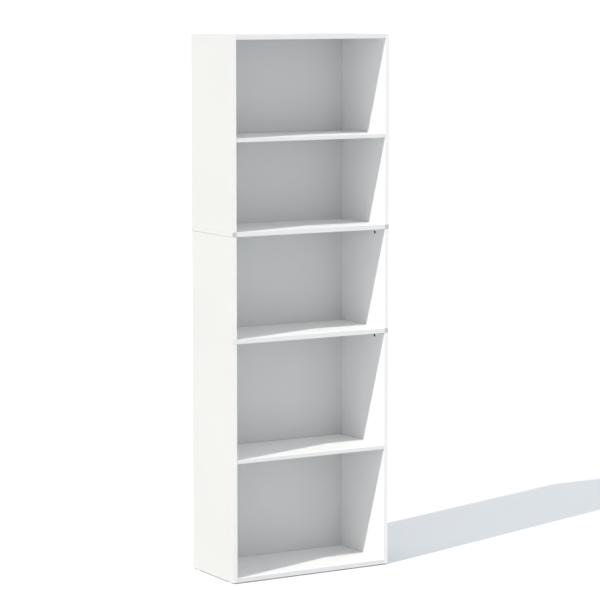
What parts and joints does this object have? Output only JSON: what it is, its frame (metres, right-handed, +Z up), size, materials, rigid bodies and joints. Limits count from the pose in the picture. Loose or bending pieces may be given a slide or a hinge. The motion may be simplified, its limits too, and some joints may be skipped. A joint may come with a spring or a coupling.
{
  "type": "bookcase with adjustable shelves",
  "caption": "Tall narrow open bookcase: white boards with stacked side sections, fixed and adjustable shelves on pins, and a thin closed back.",
  "frame": {"origin": "on the floor, under the middle of the case", "axes": "+Z up; -Y is the open front and +Y the back; +X is to the right seen from the front"},
  "size_m": [0.6, 0.28, 1.8],
  "materials": {
    "white_board": "smooth white foil over particle board, satin",
    "white_back": "white painted hardboard, low sheen",
    "cam": "dark die-cast zinc",
    "bolt": "zinc-plated steel",
    "pin": "pale translucent nylon",
    "glide": "white nylon"
  },
  "bodies": {
    "case": {"left_side_lower": "white_board", "left_side_middle": "white_board", "left_side_upper": "white_board", "right_side_lower": "white_board", "right_side_middle": "white_board", "right_side_upper": "white_board", "top_panel": "white_board", "bottom_panel": "white_board", "lower_fixed_shelf": "white_board", "upper_fixed_shelf": "white_board", "back_sheet_lower": "white_back", "back_sheet_middle": "white_back", "back_sheet_upper": "white_back", "glide_left_front": "glide", "glide_left_rear": "glide", "glide_right_front": "glide", "glide_right_rear": "glide", "bolt_lower_fixed_shelf_left_front": "bolt", "bolt_lower_fixed_shelf_left_rear": "bolt", "bolt_lower_fixed_shelf_right_front": "bolt", "bolt_lower_fixed_shelf_right_rear": "bolt", "bolt_upper_fixed_shelf_left_front": "bolt", "bolt_upper_fixed_shelf_left_rear": "bolt", "bolt_upper_fixed_shelf_right_front": "bolt", "bolt_upper_fixed_shelf_right_rear": "bolt", "bolt_bottom_panel_left_front": "bolt", "bolt_bottom_panel_left_rear": "bolt", "bolt_bottom_panel_right_front": "bolt", "bolt_bottom_panel_right_rear": "bolt", "bolt_top_panel_left_front": "bolt", "bolt_top_panel_left_rear": "bolt", "bolt_top_panel_right_front": "bolt", "bolt_top_panel_right_rear": "bolt"},
    "lower_adjustable_shelf": {"lower_adjustable_shelf": "white_board"},
    "upper_adjustable_shelf": {"upper_adjustable_shelf": "white_board"},
    "pin_lower_adjustable_shelf_left_front": {"pin_lower_adjustable_shelf_left_front": "pin"},
    "pin_lower_adjustable_shelf_left_rear": {"pin_lower_adjustable_shelf_left_rear": "pin"},
    "pin_lower_adjustable_shelf_right_front": {"pin_lower_adjustable_shelf_right_front": "pin"},
    "pin_lower_adjustable_shelf_right_rear": {"pin_lower_adjustable_shelf_right_rear": "pin"},
    "pin_upper_adjustable_shelf_left_front": {"pin_upper_adjustable_shelf_left_front": "pin"},
    "pin_upper_adjustable_shelf_left_rear": {"pin_upper_adjustable_shelf_left_rear": "pin"},
    "pin_upper_adjustable_shelf_right_front": {"pin_upper_adjustable_shelf_right_front": "pin"},
    "pin_upper_adjustable_shelf_right_rear": {"pin_upper_adjustable_shelf_right_rear": "pin"},
    "cam_lower_fixed_shelf_left_front": {"cam_lower_fixed_shelf_left_front": "cam"},
    "cam_lower_fixed_shelf_left_rear": {"cam_lower_fixed_shelf_left_rear": "cam"},
    "cam_lower_fixed_shelf_right_front": {"cam_lower_fixed_shelf_right_front": "cam"},
    "cam_lower_fixed_shelf_right_rear": {"cam_lower_fixed_shelf_right_rear": "cam"},
    "cam_upper_fixed_shelf_left_front": {"cam_upper_fixed_shelf_left_front": "cam"},
    "cam_upper_fixed_shelf_left_rear": {"cam_upper_fixed_shelf_left_rear": "cam"},
    "cam_upper_fixed_shelf_right_front": {"cam_upper_fixed_shelf_right_front": "cam"},
    "cam_upper_fixed_shelf_right_rear": {"cam_upper_fixed_shelf_right_rear": "cam"},
    "cam_bottom_panel_left_front": {"cam_bottom_panel_left_front": "cam"},
    "cam_bottom_panel_left_rear": {"cam_bottom_panel_left_rear": "cam"},
    "cam_bottom_panel_right_front": {"cam_bottom_panel_right_front": "cam"},
    "cam_bottom_panel_right_rear": {"cam_bottom_panel_right_rear": "cam"},
    "cam_top_panel_left_front": {"cam_top_panel_left_front": "cam"},
    "cam_top_panel_left_rear": {"cam_top_panel_left_rear": "cam"},
    "cam_top_panel_right_front": {"cam_top_panel_right_front": "cam"},
    "cam_top_panel_right_rear": {"cam_top_panel_right_rear": "cam"}
  },
  "joints": [
    {"name": "lower_adjustable_lift", "type": "slide", "parent": "case", "child": "lower_adjustable_shelf", "axis": [0, 0, 1], "range_m": [0, 0.384]},
    {"name": "upper_adjustable_lift", "type": "slide", "parent": "case", "child": "upper_adjustable_shelf", "axis": [0, 0, 1], "range_m": [0, 0.317]},
    {"name": "pull_lower_adjustable_shelf_left_front", "type": "slide", "parent": "case", "child": "pin_lower_adjustable_shelf_left_front", "axis": [1, 0, 0], "range_m": [0, 0.01]},
    {"name": "pull_lower_adjustable_shelf_left_rear", "type": "slide", "parent": "case", "child": "pin_lower_adjustable_shelf_left_rear", "axis": [1, 0, 0], "range_m": [0, 0.01]},
    {"name": "pull_lower_adjustable_shelf_right_front", "type": "slide", "parent": "case", "child": "pin_lower_adjustable_shelf_right_front", "axis": [-1, 0, 0], "range_m": [0, 0.01]},
    {"name": "pull_lower_adjustable_shelf_right_rear", "type": "slide", "parent": "case", "child": "pin_lower_adjustable_shelf_right_rear", "axis": [-1, 0, 0], "range_m": [0, 0.01]},
    {"name": "pull_upper_adjustable_shelf_left_front", "type": "slide", "parent": "case", "child": "pin_upper_adjustable_shelf_left_front", "axis": [1, 0, 0], "range_m": [0, 0.01]},
    {"name": "pull_upper_adjustable_shelf_left_rear", "type": "slide", "parent": "case", "child": "pin_upper_adjustable_shelf_left_rear", "axis": [1, 0, 0], "range_m": [0, 0.01]},
    {"name": "pull_upper_adjustable_shelf_right_front", "type": "slide", "parent": "case", "child": "pin_upper_adjustable_shelf_right_front", "axis": [-1, 0, 0], "range_m": [0, 0.01]},
    {"name": "pull_upper_adjustable_shelf_right_rear", "type": "slide", "parent": "case", "child": "pin_upper_adjustable_shelf_right_rear", "axis": [-1, 0, 0], "range_m": [0, 0.01]},
    {"name": "turn_lower_fixed_shelf_left_front", "type": "hinge", "parent": "case", "child": "cam_lower_fixed_shelf_left_front", "pos_m": [-0.2853, -0.076, 0.782], "axis": [1, 0, 0], "range_deg": [0, 180]},
    {"name": "turn_lower_fixed_shelf_left_rear", "type": "hinge", "parent": "case", "child": "cam_lower_fixed_shelf_left_rear", "pos_m": [-0.2853, 0.0727, 0.782], "axis": [1, 0, 0], "range_deg": [0, 180]},
    {"name": "turn_lower_fixed_shelf_right_front", "type": "hinge", "parent": "case", "child": "cam_lower_fixed_shelf_right_front", "pos_m": [0.2853, -0.076, 0.782], "axis": [-1, 0, 0], "range_deg": [0, 180]},
    {"name": "turn_lower_fixed_shelf_right_rear", "type": "hinge", "parent": "case", "child": "cam_lower_fixed_shelf_right_rear", "pos_m": [0.2853, 0.0727, 0.782], "axis": [-1, 0, 0], "range_deg": [0, 180]},
    {"name": "turn_upper_fixed_shelf_left_front", "type": "hinge", "parent": "case", "child": "cam_upper_fixed_shelf_left_front", "pos_m": [-0.2853, -0.076, 1.133], "axis": [1, 0, 0], "range_deg": [0, 180]},
    {"name": "turn_upper_fixed_shelf_left_rear", "type": "hinge", "parent": "case", "child": "cam_upper_fixed_shelf_left_rear", "pos_m": [-0.2853, 0.0727, 1.133], "axis": [1, 0, 0], "range_deg": [0, 180]},
    {"name": "turn_upper_fixed_shelf_right_front", "type": "hinge", "parent": "case", "child": "cam_upper_fixed_shelf_right_front", "pos_m": [0.2853, -0.076, 1.133], "axis": [-1, 0, 0], "range_deg": [0, 180]},
    {"name": "turn_upper_fixed_shelf_right_rear", "type": "hinge", "parent": "case", "child": "cam_upper_fixed_shelf_right_rear", "pos_m": [0.2853, 0.0727, 1.133], "axis": [-1, 0, 0], "range_deg": [0, 180]},
    {"name": "turn_bottom_panel_left_front", "type": "hinge", "parent": "case", "child": "cam_bottom_panel_left_front", "pos_m": [-0.27, -0.076, 0.0036], "axis": [0, 0, -1], "range_deg": [0, 180]},
    {"name": "turn_bottom_panel_left_rear", "type": "hinge", "parent": "case", "child": "cam_bottom_panel_left_rear", "pos_m": [-0.27, 0.0727, 0.0036], "axis": [0, 0, -1], "range_deg": [0, 180]},
    {"name": "turn_bottom_panel_right_front", "type": "hinge", "parent": "case", "child": "cam_bottom_panel_right_front", "pos_m": [0.27, -0.076, 0.0036], "axis": [0, 0, -1], "range_deg": [0, 180]},
    {"name": "turn_bottom_panel_right_rear", "type": "hinge", "parent": "case", "child": "cam_bottom_panel_right_rear", "pos_m": [0.27, 0.0727, 0.0036], "axis": [0, 0, -1], "range_deg": [0, 180]},
    {"name": "turn_top_panel_left_front", "type": "hinge", "parent": "case", "child": "cam_top_panel_left_front", "pos_m": [-0.27, -0.076, 1.7853], "axis": [0, 0, -1], "range_deg": [0, 180]},
    {"name": "turn_top_panel_left_rear", "type": "hinge", "parent": "case", "child": "cam_top_panel_left_rear", "pos_m": [-0.27, 0.0727, 1.7853], "axis": [0, 0, -1], "range_deg": [0, 180]},
    {"name": "turn_top_panel_right_front", "type": "hinge", "parent": "case", "child": "cam_top_panel_right_front", "pos_m": [0.27, -0.076, 1.7853], "axis": [0, 0, -1], "range_deg": [0, 180]},
    {"name": "turn_top_panel_right_rear", "type": "hinge", "parent": "case", "child": "cam_top_panel_right_rear", "pos_m": [0.27, 0.0727, 1.7853], "axis": [0, 0, -1], "range_deg": [0, 180]}
  ]
}
